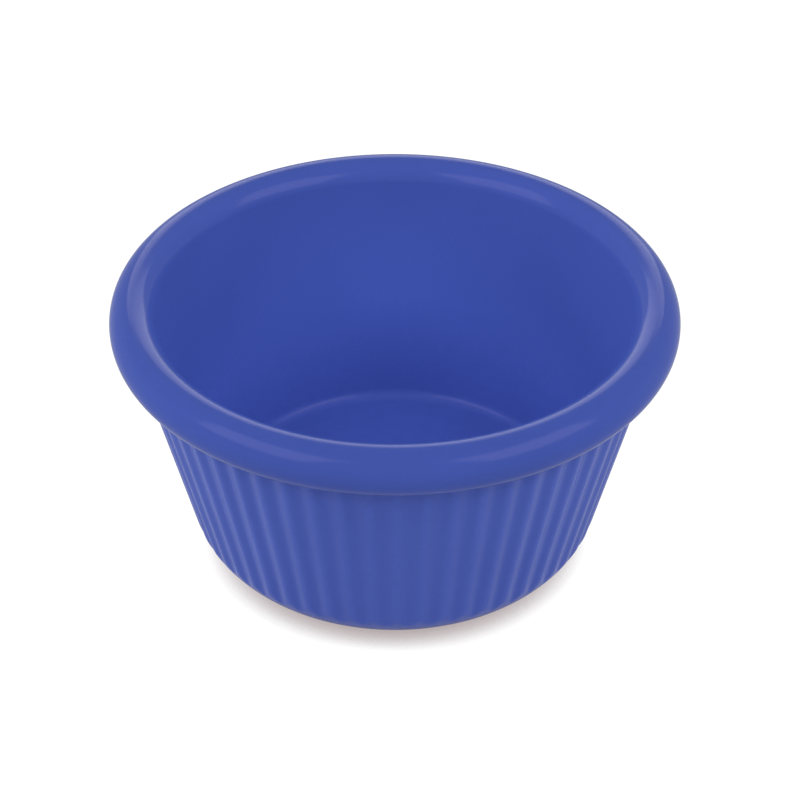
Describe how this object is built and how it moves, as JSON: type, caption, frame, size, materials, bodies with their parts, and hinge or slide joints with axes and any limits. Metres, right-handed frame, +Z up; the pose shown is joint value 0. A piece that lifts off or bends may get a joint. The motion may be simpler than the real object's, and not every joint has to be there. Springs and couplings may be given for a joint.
{
  "type": "sauce dish",
  "caption": "Small round sauce dish moulded in one piece: tapered wall with upright flutes, wide rolled rim, smooth bowl for dips and condiments, and a flat foot ring to stand on.",
  "frame": {"origin": "centre of the foot ring, on the surface that the dish stands on", "axes": "+Z up along the dish's axis, out of the bowl's mouth; +X and +Y level, the dish being round"},
  "size_m": [0.07, 0.07, 0.0367],
  "materials": {
    "melamine": "cobalt-blue moulded melamine resin with an even, semi-gloss polish"
  },
  "bodies": {
    "root": {"dish_body": "melamine"}
  },
  "joints": []
}
